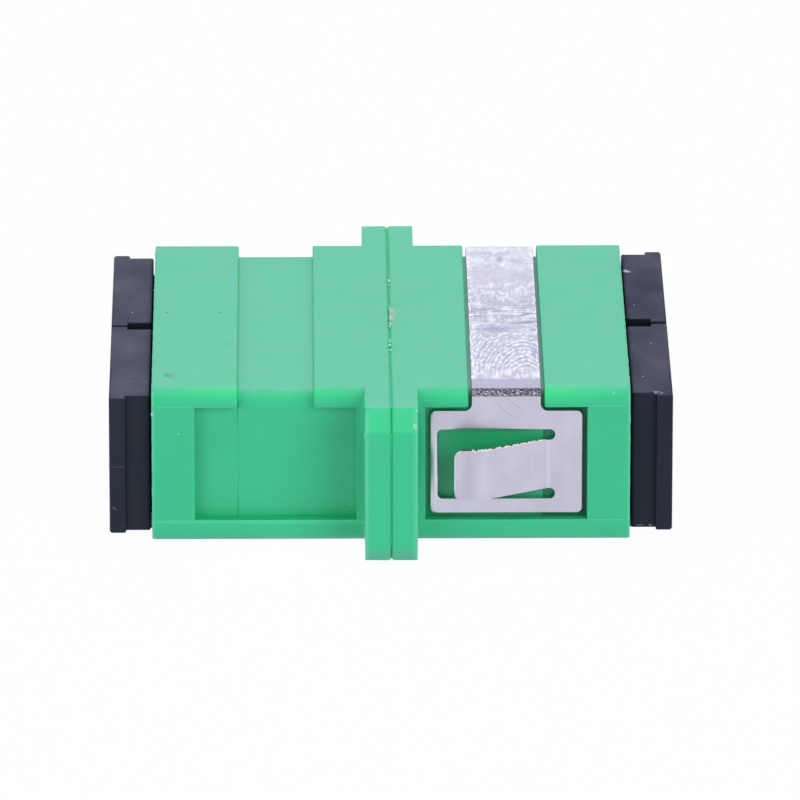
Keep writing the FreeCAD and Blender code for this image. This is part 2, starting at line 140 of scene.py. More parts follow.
# The paper is matte and takes a soft shadow. It glows a little by itself, as an overlit sweep does,
# plain white to the camera and cool to gloss and metal. Under the caps' gaps it is left in shadow.
white_paper, tree = new_material("white_paper")
rays = add_node(tree, "ShaderNodeLightPath").node.outputs
matte = add_node(tree, "ShaderNodeBsdfDiffuse", Color=linear(PAPER))
plain = add_node(tree, "ShaderNodeEmission", Color=linear(PLAIN_WHITE), Strength=1.0)
cool = add_node(tree, "ShaderNodeEmission", Color=linear(COOL_WHITE), Strength=1.0)
glow = add_node(tree, "ShaderNodeMixShader", i0=rays["Is Camera Ray"], i1=cool, i2=plain)
seen = add_node(tree, "ShaderNodeMath", {"operation": "MAXIMUM"}, i0=rays["Is Camera Ray"],
                i1=rays["Is Glossy Ray"])
share = add_node(tree, "ShaderNodeMapRange", i0=seen, i3=FLOOR_BOUNCE, i4=FLOOR_WHITE)
open_floor = add_node(tree, "ShaderNodeMixShader", i0=share, i1=matte, i2=glow)

place = add_node(tree, "ShaderNodeTexCoord", result="Object")
x, y = add_node(tree, "ShaderNodeSeparateXYZ", i0=place).node.outputs[:2]
outwards, depth = (add_node(tree, "ShaderNodeMath", {"operation": "ABSOLUTE"}, i0=axis) for axis in (x, y))
across = add_node(tree, "ShaderNodeMath", {"operation": "COMPARE"}, i0=outwards, i1=GAP_MIDDLE,
                  i2=GAP_HALF_WIDTH)
lengthwise = add_node(tree, "ShaderNodeMath", {"operation": "LESS_THAN"}, i0=depth, i1=GAP_HALF_LENGTH)
under_gap = add_node(tree, "ShaderNodeMath", {"operation": "MULTIPLY"}, i0=across, i1=lengthwise)
openness = add_node(tree, "ShaderNodeAmbientOcclusion", {"samples": 16}, result="AO", Distance=GAP_WALLS)
share = add_node(tree, "ShaderNodeMapRange", i0=openness, i1=GAP_SHADE[0], i2=GAP_SHADE[1], i4=FLOOR_WHITE)
gap_floor = add_node(tree, "ShaderNodeMixShader", i0=share, i1=matte, i2=glow)
paper = add_node(tree, "ShaderNodeMixShader", i0=under_gap, i1=open_floor, i2=gap_floor)
add_node(tree, "ShaderNodeOutputMaterial", Surface=paper)
floor.data.materials.append(white_paper)


def soft_box(name, size, place, power, colour, mirrored=False):
    """A square lamp of a size in metres, facing the object. Only a mirrored one shows in gloss."""
    data = bpy.data.lights.new(name, "AREA")
    data.size = size
    data.energy = power
    data.color = linear(colour)[:3]
    box = bpy.data.objects.new(name, data)
    bpy.context.scene.collection.objects.link(box)
    box.location = place
    box.rotation_euler = (AIM - box.location).to_track_quat("-Z", "Y").to_euler()
    box.visible_glossy = mirrored


soft_box("top_box", 0.8, Vector((0.0, 0.0, 1.0)), 5.45, PLAIN_WHITE)
soft_box("front_left_box", 0.6, Vector((-0.6, -0.9, 0.45)), 3.3, PLAIN_WHITE)
soft_box("front_right_box", 0.6, Vector((0.6, -0.9, 0.45)), 5.5, PLAIN_WHITE)
soft_box("left_box", 0.6, Vector((-1.0, -0.1, 0.3)), 1.7, PLAIN_WHITE)
soft_box("back_box", 0.8, Vector((0.0, 0.7, 0.7)), 2.95, "#DCD2FF", mirrored=True)


# ---------------------------------------------------------------------------------------------
# Housing. Two like mouldings in light green ABS, open at the outer end and welded face to face
# at the flange. Their corners come off the mould with a slight round. Where the clip lies on the
# right half, its recesses and channel take a darker green: painted shade.
# ---------------------------------------------------------------------------------------------
BODY_END, EAR_END, BODY_TOP = (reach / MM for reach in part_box("housing_right")[1])
BODY_SIDE = 12.9
FLANGE_FACE = 1.5        # the flange is 3 mm thick, half of it on each moulding
SILL = 1.44              # height of the lower edge of the side recesses
HOUSING_EDGE = 0.09 * MM
SAME_PLACE = 1e-8        # metres within which two points of a mesh are one


def bevelled_copy(node, name, width, segments=2, sharp=math.radians(30)):
    """A copy of a CAD node: triangles merged, flat faces joined, and each outer corner edge rounded
    to a width. The faces of the rounded edges are given the object's second material."""
    mesh = NODES[node].data.copy()
    shape = bmesh.new()
    shape.from_mesh(mesh)
    bmesh.ops.remove_doubles(shape, verts=shape.verts, dist=SAME_PLACE)
    bmesh.ops.dissolve_limit(shape, angle_limit=math.radians(0.5), verts=shape.verts, edges=shape.edges)
    hard = {edge for edge in shape.edges if edge.calc_face_angle() > sharp}

    def runs_into_a_root(edge):
        """True where a hollow corner leaves an end of the edge within 60 degrees of it, as at an ear."""
        for corner, far in (edge.verts, reversed(edge.verts)):
            run = (far.co - corner.co).normalized()
            for other in corner.link_edges:
                if other in hard and not other.is_convex:
                    if (other.other_vert(corner).co - corner.co).normalized().dot(run) > 0.5:
                        return True
        return False

    edges = [edge for edge in hard if edge.is_convex and not runs_into_a_root(edge)]
    edges.sort(key=lambda edge: edge.index)
    bmesh.ops.bevel(shape, geom=edges, offset=width, segments=segments, profile=0.5, affect="EDGES",
                    clamp_overlap=False, offset_type="OFFSET", material=1)
    for face in shape.faces:
        face.smooth = True
    for edge in shape.edges:
        edge.smooth = edge.calc_face_angle() < sharp
    shape.to_mesh(mesh)
    shape.free()
    mesh.materials.clear()
    piece = bpy.data.objects.new(name, mesh)
    bpy.context.scene.collection.objects.link(piece)
    weighted = piece.modifiers.new("flat_faces", "WEIGHTED_NORMAL")
    weighted.keep_sharp = True
    weighted.weight = 100
    return piece


def paint_faces(piece, slot, low, high):
    """Gives one of the piece's materials to the faces whose middle lies in a box, in millimetres."""
    faces = piece.data.polygons
    middle = np.empty(len(faces) * 3)
    faces.foreach_get("center", middle)
    middle = middle.reshape(-1, 3) / MM
    slots = np.empty(len(faces), dtype=np.int32)
    faces.foreach_get("material_index", slots)
    slots[np.all((middle > low) & (middle < high), axis=1)] = slot
    faces.foreach_set("material_index", slots)


def in_millimetres(tree):
    """The place of a point on the object, in millimetres."""
    place = add_node(tree, "ShaderNodeTexCoord", result="Object")
    return add_node(tree, "ShaderNodeVectorMath", {"operation": "SCALE"}, i0=place, Scale=1 / MM)


def patterns(tree, place, sizes):
    """Cloudy patterns by name, each from its features' size in millimetres, its detail and its swirl."""
    found = {}
    for name, (size, detail, swirl) in sizes.items():
        spread = add_node(tree, "ShaderNodeVectorMath", {"operation": "DIVIDE"}, i0=place, i1=size)
        found[name] = add_node(tree, "ShaderNodeTexNoise", Vector=spread, Scale=1.0, Detail=detail,
                               Distortion=swirl)
    return found


def mark(tree, place, centre, radii, core=0.3):
    """A soft oval mark: one within its core, falling to nought where place leaves the oval of these radii."""
    apart = add_node(tree, "ShaderNodeVectorMath", {"operation": "SUBTRACT"}, i0=place, i1=centre)
    across = add_node(tree, "ShaderNodeVectorMath", {"operation": "DIVIDE"}, i0=apart, i1=radii)
    far = add_node(tree, "ShaderNodeVectorMath", {"operation": "LENGTH"}, result="Value", i0=across)
    return add_node(tree, "ShaderNodeMapRange", i0=far, i1=core, i2=1.0, i3=1.0, i4=0.0)


def painted(tree, tone, layers):
    """Lays colours over a tone in turn, each as far as the product of its masks and amounts says."""
    for colour, amount, *masks in layers:
        for mask in masks:
            amount = add_node(tree, "ShaderNodeMath", {"operation": "MULTIPLY"}, i0=amount, i1=mask)
        tone = add_node(tree, "ShaderNodeMix", {"data_type": "RGBA"}, result=2, i0=amount, i6=tone,
                        i7=linear(colour))
    return tone


def moulded_abs(name, colour, flow_colour, marks=(), rim_highlights=(), light_and_shade=()):
    """ABS from a satin mould: even colour with faint cloudy flow, and a grain that softens its
    gloss, drawn coarser than the real one so that it shows. Small dark burns and painted shade sit
    where marks places them. The upright edges and the recesses' sill get painted highlights, and
    chosen corners get painted highlights, the ledge painted shade."""
    material, tree = new_material(name)
    place = in_millimetres(tree)
    pattern = patterns(tree, place, {
        "flow": ((6.0, 6.0, 6.0), 3.0, 0.0), "waves": ((2.0, 2.0, 2.0), 1.0, 0.0),
        "grain": ((0.14, 0.14, 0.14), 2.0, 0.0)})
    cloudy = add_node(tree, "ShaderNodeMapRange", i0=pattern["flow"], i1=0.35, i2=0.65)
    layers = [(flow_colour, cloudy)]
    layers += [(BURN_AND_SHADE, amount, mark(tree, place, centre, radii)) for centre, radii, amount in marks]
    x, y, z = add_node(tree, "ShaderNodeSeparateXYZ", i0=place).node.outputs
    outwards, depth = (add_node(tree, "ShaderNodeMath", {"operation": "ABSOLUTE"}, i0=axis)
                       for axis in (x, y))
    # Without the signs of x and y, one mark shows in all four quarters.
    either_side = add_node(tree, "ShaderNodeCombineXYZ", i0=outwards, i1=depth, i2=z)
    # Painted highlights on corners that face the light, and painted shade on the recess's ledge.
    layers += [(tint, amount, mark(tree, either_side, centre, radii, core))
               for centre, radii, core, tint, amount in light_and_shade]
    # Painted highlights down the upright edges of the flange and the open ends.
    if rim_highlights:
        below_top = add_node(tree, "ShaderNodeMapRange", i0=z, i1=BODY_TOP - 0.05, i2=BODY_TOP - 0.3)
        for edge, width in rim_highlights:
            near = add_node(tree, "ShaderNodeMapRange", i0=outwards, i1=edge - width, i2=edge)
            inside = add_node(tree, "ShaderNodeMath", {"operation": "LESS_THAN"}, i0=outwards, i1=edge + 0.02)
            layers.append((RIM_HIGHLIGHT, 1.0, near, inside, below_top))
        # A painted highlight along the recesses' sill, stronger on the left half.
        near = add_node(tree, "ShaderNodeMapRange", i0=z, i1=SILL - 0.3, i2=SILL - 0.1)
        below = add_node(tree, "ShaderNodeMath", {"operation": "LESS_THAN"}, i0=z, i1=SILL - 0.02)
        off_flange = add_node(tree, "ShaderNodeMath", {"operation": "GREATER_THAN"}, i0=outwards,
                              i1=FLANGE_FACE + 0.01)
        sill_highlight_share = add_node(tree, "ShaderNodeMapRange", i0=x, i1=-FLANGE_FACE, i2=FLANGE_FACE, i3=0.75,
                              i4=0.2)
        layers.append((SILL_HIGHLIGHT, sill_highlight_share, near, below, off_flange))
    tone = painted(tree, linear(colour), layers)
    sheen = add_node(tree, "ShaderNodeMapRange", i0=pattern["waves"], i1=0.3, i2=0.7, i3=0.36, i4=0.40)
    height = add_node(tree, "ShaderNodeMath", {"operation": "MULTIPLY_ADD"}, i0=pattern["waves"], i1=2.5,
                      i2=pattern["grain"])
    bump = add_node(tree, "ShaderNodeBump", Strength=0.25, Distance=0.004 * MM, Height=height)
    shader = add_node(tree, "ShaderNodeBsdfPrincipled", Base_Color=tone, Roughness=sheen, IOR=1.5,
                      Normal=bump)
    add_node(tree, "ShaderNodeOutputMaterial", Surface=shader)
    return material


BURN_AND_SHADE = "#1F5A40"
RIM_HIGHLIGHT = "#5CD8A0"
SILL_HIGHLIGHT = "#44D896"
RIM_HIGHLIGHTS = ((FLANGE_FACE, 0.3), (BODY_END, 0.2))   # painted highlights on the flange's edges and the open ends': place and width
BURNS_AND_JOINT_SHADE = (   # centre, half sizes in mm, and how dark: burns, and the last two painted shade along the joint
    ((-12.92, 0.53, 9.3), (0.15, 0.22, 0.3), 0.75), ((-9.86, 0.51, 9.3), (0.12, 0.22, 0.3), 0.75),
    ((-12.80, -10.18, 9.3), (0.28, 0.45, 0.3), 0.55), ((-12.45, -10.25, 9.3), (0.5, 0.8, 0.3), 0.12),
    ((-9.46, -4.89, 9.3), (0.12, 0.35, 0.3), 0.25), ((-2.58, -12.1, 1.99), (0.09, 0.3, 0.09), 0.6),
    ((0.0, 9.2, 9.25), (0.16, 3.4, 0.3), 0.1), ((0.0, -16.7, 4.4), (0.08, 0.5, 5.2), 0.65))
ROOT_SHADE = tuple(   # painted shade where the flange's faces meet the body's sides; columns as for the burns
    ((x, y, 4.3), (0.32, 0.3, 5.0), 0.3)
    for y in (-BODY_SIDE, BODY_SIDE) for x in (FLANGE_FACE, -FLANGE_FACE))
CHANNEL_SHADE = (   # painted shade in the gaps along the strip's two sides; columns as for the burns
    ((8.68, 0.0, 8.88), (0.11, 40.0, 0.5), 0.6), ((4.52, 0.0, 8.88), (0.07, 40.0, 0.5), 0.3))
PAINTED_LIGHT_AND_SHADE = (   # painted highlights, and painted shade on the ledge: centre on either side, half sizes in mm, share that is full, colour and amount
    ((7.65, 12.5, 9.15), (6.15, 0.8, 0.8), 0.2, "#36DE88", 0.8),       # the long corners
    ((0.0, 16.24, 8.74), (100.0, 1.5, 1.5), 0.5, "#38CE8D", 0.9),      # the ears' upper chamfers
    ((0.0, 16.9, 4.6), (100.0, 0.4, 6.0), 0.8, "#34CC8A", 0.6),        # the ears' fronts
    ((6.6, 12.15, 8.95), (2.2, 0.6, 0.6), 0.5, "#36DE88", 0.6),        # the channel's rounded end
    ((8.79, 12.1, 4.8), (0.07, 0.4, 3.6), 0.5, "#50DCA4", 0.8),        # the step in the recess
    ((6.4, 12.45, 1.44), (6.0, 0.45, 0.06), 0.7, "#1F9466", 0.45))     # the recess's ledge, in its shade
SHADED, DEEP_SHADED = 2, 3      # places of these two painted shades among the half's materials
CLIP_BED = (   # painted shade, and low and high corners: recess floors, their steps, the channel and its end
    (SHADED, (1.9, -12.85, 1.4), (8.7, -11.95, 8.3)), (SHADED, (1.9, 11.95, 1.4), (8.7, 12.85, 8.3)),
    (DEEP_SHADED, (8.7, -12.85, 1.4), (11.3, -11.95, 8.3)), (DEEP_SHADED, (8.7, 11.95, 1.4), (11.3, 12.85, 8.3)),
    (SHADED, (4.5, -11.2, 8.8), (8.7, 11.2, 8.95)), (DEEP_SHADED, (4.4, -12.2, 8.0), (8.8, -11.1, 8.95)))

green = moulded_abs("moulded_green_abs", "#35C48A", "#36C78C", BURNS_AND_JOINT_SHADE + ROOT_SHADE, RIM_HIGHLIGHTS, PAINTED_LIGHT_AND_SHADE)
# The rounded edges take a lighter green as a painted highlight; the flash and witness lines take it too.
green_edge_highlight = moulded_abs("moulded_green_abs_edge_highlight", "#62D9A8", "#66DBAB")
# Painted shade: two darker greens for the faces under and beside the clip, and along the strip's sides.
green_shaded = moulded_abs("moulded_green_abs_painted_shade", "#2EB277", "#30B579", CHANNEL_SHADE)
green_deep_shaded = moulded_abs("moulded_green_abs_painted_deep_shade", "#208E60", "#229162")
for side in ("right", "left"):
    half = bevelled_copy(f"housing_{side}", f"shell_{side}", HOUSING_EDGE, segments=3)
    for variant in (green, green_edge_highlight, green_shaded, green_deep_shaded):
        half.data.materials.append(variant)
    if side == "right":
        # The faces under the clip get the painted shade.
        for variant, low, high in CLIP_BED:
            paint_faces(half, variant, low, high)
    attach(half, "adapter")
    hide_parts(f"housing_{side}")


# ---------------------------------------------------------------------------------------------
# Weld bead, mould flash and witness lines. Ultrasonic welding squeezes a thin uneven bead of
# green plastic into the groove between the halves. The mould leaves a thread of flash round each
# open end, and a faint raised line across the end columns where its inserts meet.
# ---------------------------------------------------------------------------------------------
def uneven(count, waves, seed):
    """A closed row of values about nought: a sum of sines, each with whole turns and its own phase."""
    sines = 14
    draw = np.random.default_rng(seed)
    turns = draw.integers(waves // 4, waves, sines)[:, None]
    phase = draw.uniform(0, 2 * np.pi, sines)[:, None]
    t = np.linspace(0, 2 * np.pi, count, endpoint=False)[None]
    return np.sin(turns * t + phase).sum(0) / math.sqrt(sines / 2)


def ragged(line, radius, swing, limits, waves, seed):
    """A thread's radius at each point of a line: radius + swing * uneven, kept within limits."""
    return np.clip(radius + swing * uneven(len(line), waves, seed), *limits)


def along(corners, step, closed=False):
    """Points every step mm along straight runs between corners: each axis looked up by distance run."""
    corners = np.array(corners, float)
    if closed:
        corners = np.vstack([corners, corners[:1]])
    run = np.concatenate([[0], np.cumsum(np.linalg.norm(np.diff(corners, axis=0), axis=1))])
    count = max(8, int(run[-1] / step))
    at = np.linspace(0, run[-1], count, endpoint=not closed)
    return np.stack([np.interp(at, run, corners[:, axis]) for axis in range(3)], axis=1)


def grid_faces(rows, columns, wrap_rows):
    """Four-sided faces of a grid whose columns wrap round, and whose rows may too."""
    row, column = np.meshgrid(np.arange(rows if wrap_rows else rows - 1), np.arange(columns), indexing="ij")
    next_row, next_column = (row + 1) % rows, (column + 1) % columns
    corners = ((row, column), (row, next_column), (next_row, next_column), (next_row, column))
    return np.stack([r * columns + c for r, c in corners], axis=-1).reshape(-1, 4)


def thread(path, radius, up, closed=False, sides=8):
    """A round thread along a path: each ring is centre + r (cos a * up + sin a * side), side = run x up.
    The radius is one value, or one per point. An open thread narrows to a point at each end."""
    run = np.roll(path, -1, 0) - np.roll(path, 1, 0) if closed else np.gradient(path, axis=0)
    up = np.broadcast_to(np.array(up, float), path.shape)
    side = np.cross(run, up)
    side /= np.linalg.norm(side, axis=1, keepdims=True)
    radius = np.broadcast_to(radius, len(path))
    if not closed:
        radius = radius * np.sqrt(1 - np.linspace(-1, 1, len(path)) ** 8)
    angle = np.linspace(0, 2 * np.pi, sides, endpoint=False)[None, :, None]
    circles = np.cos(angle) * up[:, None] + np.sin(angle) * side[:, None]
    rings = path[:, None] + radius[:, None, None] * circles
    return rings.reshape(-1, 3), grid_faces(len(path), sides, closed)


def lump(centre, radii, seed, roughness=0.18):
    """A lump: a sphere over two angles, pushed in or out by three waves, then scaled to its radii."""
    rings, spokes = 14, 18
    down, around = np.meshgrid(np.linspace(0, np.pi, rings),
                               np.linspace(0, 2 * np.pi, spokes, endpoint=False), indexing="ij")
    phase = np.random.default_rng(seed).uniform(0, 2 * np.pi, 4)   # the fourth isn't used
    swell = np.sin(3 * around + phase[0]) + np.sin(2 * around + 4 * down + phase[1])
    swell += np.sin(5 * around - 3 * down + phase[2])
    size = 1 + roughness * swell * np.sin(down)
    ball = np.stack([np.sin(down) * np.cos(around), np.sin(down) * np.sin(around), np.cos(down)], axis=-1)
    points = np.array(centre) + ball * size[..., None] * np.array(radii)
    return points.reshape(-1, 3), grid_faces(rings, spokes, False)


def piece_from(name, surfaces, material, body):
    """One object from surfaces in millimetres: joined, with poles merged and faces turned outwards."""
    start, points, faces = 0, [], []
    for places, quads in surfaces:
        points.append(places)
        faces.append(quads + start)
        start += len(places)
    mesh = bpy.data.meshes.new(name)
    mesh.from_pydata((np.concatenate(points) * MM).tolist(), [], np.concatenate(faces).tolist())
    shape = bmesh.new()
    shape.from_mesh(mesh)
    bmesh.ops.remove_doubles(shape, verts=shape.verts, dist=SAME_PLACE)
    bmesh.ops.recalc_face_normals(shape, faces=shape.faces)
    for face in shape.faces:
        face.smooth = True
    shape.to_mesh(mesh)
    shape.free()
    mesh.materials.append(material)
    piece = bpy.data.objects.new(name, mesh)
    bpy.context.scene.collection.objects.link(piece)
    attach(piece, body)


EAR_CHAMFER = 1.12
GROOVE = 0.14            # how far the bead's middle lies below the faces beside it
WELD_SPECKS = (          # centre, half sizes in mm, and seed of its bumps
    ((0.03, 6.07, 9.27), (0.08, 0.22, 0.04), 11), ((0.02, 5.4, 9.25), (0.04, 0.14, 0.04), 15),
    ((0.02, -4.45, 9.27), (0.06, 0.2, 0.04), 12), ((0.0, -5.1, 9.27), (0.07, 0.22, 0.04), 13),
    ((0.03, -5.9, 9.26), (0.05, 0.16, 0.04), 16), ((0.01, -1.9, 9.26), (0.05, 0.2, 0.04), 14))

end, low, high = EAR_END - GROOVE, GROOVE, BODY_TOP - GROOVE
flat_end, foot, shoulder = end - EAR_CHAMFER, low + EAR_CHAMFER, high - EAR_CHAMFER
flange_line = along([
    (0, -end, foot), (0, -flat_end, low), (0, flat_end, low), (0, end, foot),
    (0, end, shoulder), (0, flat_end, high), (0, -flat_end, high), (0, -end, shoulder)],
    step=0.12, closed=True)
bead_radius = ragged(flange_line, radius=0.04, swing=0.012, limits=(0.015, 0.07), waves=160, seed=3)
bead = thread(flange_line, bead_radius, up=(1, 0, 0), closed=True)
specks = [lump(*speck) for speck in WELD_SPECKS]   # torn plastic, joined to the burrs further on
piece_from("weld_bead", [bead], green, "adapter")

CORNER = 0.94            # radius of the long corners
FLASH_INSET = 0.03       # how far the flash's middle lies inside the end's faces
KEYWAY = (5.15, 7.55)    # the sides of the keyway that opens each port downwards
WITNESS_RADIUS = 0.017
WITNESS_INSET = 0.006    # how far the witness lines' middle lies inside the side
WITNESS_RUN = (11.35, 13.5)
WITNESS_HEIGHTS = (1.41, 8.36)

# The arch of flash runs from one keyway round the four corners to the other, the sill between them.
turn = np.linspace(0, np.pi / 2, 9)
across = BODY_SIDE - FLASH_INSET - CORNER * (1 - np.sin(turn))
rise = CORNER * (1 - np.cos(turn))
across = np.concatenate([[KEYWAY[1]], across, across[::-1]])
height = np.concatenate([[FLASH_INSET], FLASH_INSET + rise, BODY_TOP - FLASH_INSET - rise[::-1]])
across, height = np.concatenate([across, -across[::-1]]), np.concatenate([height, height[::-1]])
for name, sign in (("right", 1), ("left", -1)):
    face, side = sign * (BODY_END - FLASH_INSET), BODY_SIDE - WITNESS_INSET
    arch = np.stack([np.full(len(across), face), across, height], axis=1)
    sill = [(face, KEYWAY[0], FLASH_INSET), (face, -KEYWAY[0], FLASH_INSET)]
    threads = []
    for corners in (arch, sill):
        line = along(corners, step=0.15)
        radius = ragged(line, radius=0.026, swing=0.007, limits=(0.01, 0.05), waves=60, seed=20 + sign)
        threads.append(thread(line, radius, up=(1, 0, 0), sides=6))
    for depth in (-side, side):
        for level in WITNESS_HEIGHTS:
            line = along([(sign * reach, depth, level) for reach in WITNESS_RUN], step=0.1)
            threads.append(thread(line, WITNESS_RADIUS, up=(0, 0, 1), sides=6))
    piece_from(f"mould_flash_{name}", threads, green_edge_highlight, "adapter")

# ---------------------------------------------------------------------------------------------
# Knocks. Where the joint or an edge was struck or squeezed, ABS turns pale: a half-moon beside
# the joint, specks of torn plastic along it, and burrs on the edges and faces.
# ---------------------------------------------------------------------------------------------
def whitened_abs(name, rim, core):
    """ABS gone pale where it was squeezed: patchy between two tones, and slightly rough."""
    material, tree = new_material(name)
    pattern = patterns(tree, in_millimetres(tree), {"patch": ((0.35, 0.7, 0.35), 2.0, 0.0)})
    spread = add_node(tree, "ShaderNodeMapRange", i0=pattern["patch"], i1=0.38, i2=0.62)
    bump = add_node(tree, "ShaderNodeBump", Strength=0.4, Distance=0.015 * MM, Height=pattern["patch"])
    tone = painted(tree, linear(rim), [(core, spread)])
    shader = add_node(tree, "ShaderNodeBsdfPrincipled", Base_Color=tone, Roughness=0.5, IOR=1.5, Normal=bump)
    add_node(tree, "ShaderNodeOutputMaterial", Surface=shader)
    return material


whitened = whitened_abs("stress_whitened_abs", "#9CCBAA", "#86B592")
torn = whitened_abs("torn_abs", "#8FE3BE", "#A5F0CF")

MOON = ((0.0, 0.07, 9.285), (0.4, 1.3, 0.04), 31)   # centre, half sizes in mm, and seed of its bumps
MOON_ENDS = (
    ((0.06, -1.5, 9.28), (0.09, 0.3, 0.035), 32), ((0.1, 1.5, 9.28), (0.06, 0.2, 0.03), 33))
BURRS = (
    ((1.33, -16.58, 8.42), (0.15, 0.12, 0.2), 34), ((1.42, -15.82, 9.14), (0.06, 0.06, 0.16), 36),
    ((-1.46, -16.55, 7.95), (0.09, 0.1, 0.2), 35), ((-12.16, -12.9, 6.73), (0.038, 0.015, 0.038), 37),
    ((12.75, -12.7, 9.05), (0.06, 0.05, 0.06), 38), ((-13.66, -12.86, 7.89), (0.06, 0.06, 0.12), 39),
    ((6.8, -12.88, 0.98), (0.045, 0.03, 0.045), 40), ((-13.66, 10.9, 9.22), (0.07, 0.25, 0.06), 41),
    ((-13.66, 4.6, 9.22), (0.05, 0.3, 0.05), 42))

# The half-moon is a lump pressed almost flat on the side of the joint, with a wavy edge.
moon, faces = lump(*MOON, roughness=0.03)
moon[:, 0] *= np.where(moon[:, 0] < 0, 0.05, 1.0)
moon[:, 0] += 0.02
moon[:, 0] += 0.03 * np.sin(4 * moon[:, 1])
piece_from("pale_bruise", [(moon, faces)] + [lump(*knock) for knock in MOON_ENDS], whitened, "adapter")
piece_from("burrs", specks + [lump(*burr) for burr in BURRS], torn, "adapter")

# ---------------------------------------------------------------------------------------------
# Latch holders. Four mouldings of the same green ABS inside the halves, each with two hooked
# arms and half of the barrel. They show in the ports when the caps are out.
# ---------------------------------------------------------------------------------------------
HOLDER_EDGE = 0.04 * MM
for side in ("right", "left"):
    for row in ("front", "back"):
        name = f"latch_holder_{side}_{row}"
        holder = bevelled_copy(name, f"latches_{side}_{row}", HOLDER_EDGE)
        holder.data.materials.append(green)
        holder.data.materials.append(green_edge_highlight)
        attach(holder, "adapter")
        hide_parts(name)

# ---------------------------------------------------------------------------------------------
# Split sleeves. Thin white zirconia tubes with a slit along one side, ground and polished, loose
# in the barrel so that they grip and line up two ferrules. Lapping leaves their gloss a bit uneven.
# ---------------------------------------------------------------------------------------------
zirconia, tree = new_material("polished_zirconia")
pattern = patterns(tree, in_millimetres(tree), {"lap": ((0.33, 0.33, 0.33), 3.0, 0.0)})
sheen = add_node(tree, "ShaderNodeMapRange", i0=pattern["lap"], i1=0.3, i2=0.7, i3=0.08, i4=0.2)
tone = painted(tree, linear("#E4E0D6"), [("#F0EDE6", pattern["lap"])])
shader = add_node(tree, "ShaderNodeBsdfPrincipled", Base_Color=tone, Roughness=sheen, IOR=2.1)
add_node(tree, "ShaderNodeOutputMaterial", Surface=shader)
for row in ("front", "back"):
    NODES[f"split_sleeve_{row}"].material_slots[0].material = zirconia

# ---------------------------------------------------------------------------------------------
# Panel clip. Nickel-plated spring steel strip, stamped and folded: it crosses the right half in
# its channel, drops down both sides in flat wings, and a sprung tongue stands out of each wing.
# ---------------------------------------------------------------------------------------------
CLIP_CREST, WING_FACE = 9.2, 12.5
SHEET = 0.3
CLIP_EDGE = 0.06 * MM
BEND = 0.42              # height of the folded corner at each end of the strip
CALM = 10.65             # depth at which the scuffed part of the strip ends, before the front fold
RING_PIVOT = (7.75, -10.2, CLIP_CREST)   # the folding tool turned about here and left rings
RING_STRETCH = (1.0, 0.36, 0.0)          # they are ovals, longer along the strip
RING_GAP, RING_WANDER = 0.23, 0.42
NECK_ARCS = (   # rubbed into the neck by the same tool: centre, radius, and middle and half sizes shown
    ((8.6, 12.5, 10.3), 3.15, (6.6, 12.5, 8.0), (1.1, 1.0, 0.8)),
    ((8.9, 12.5, 10.9), 3.15, (7.0, 12.5, 8.2), (0.9, 1.0, 0.7)))
ARC_HALF_WIDTH = 0.035


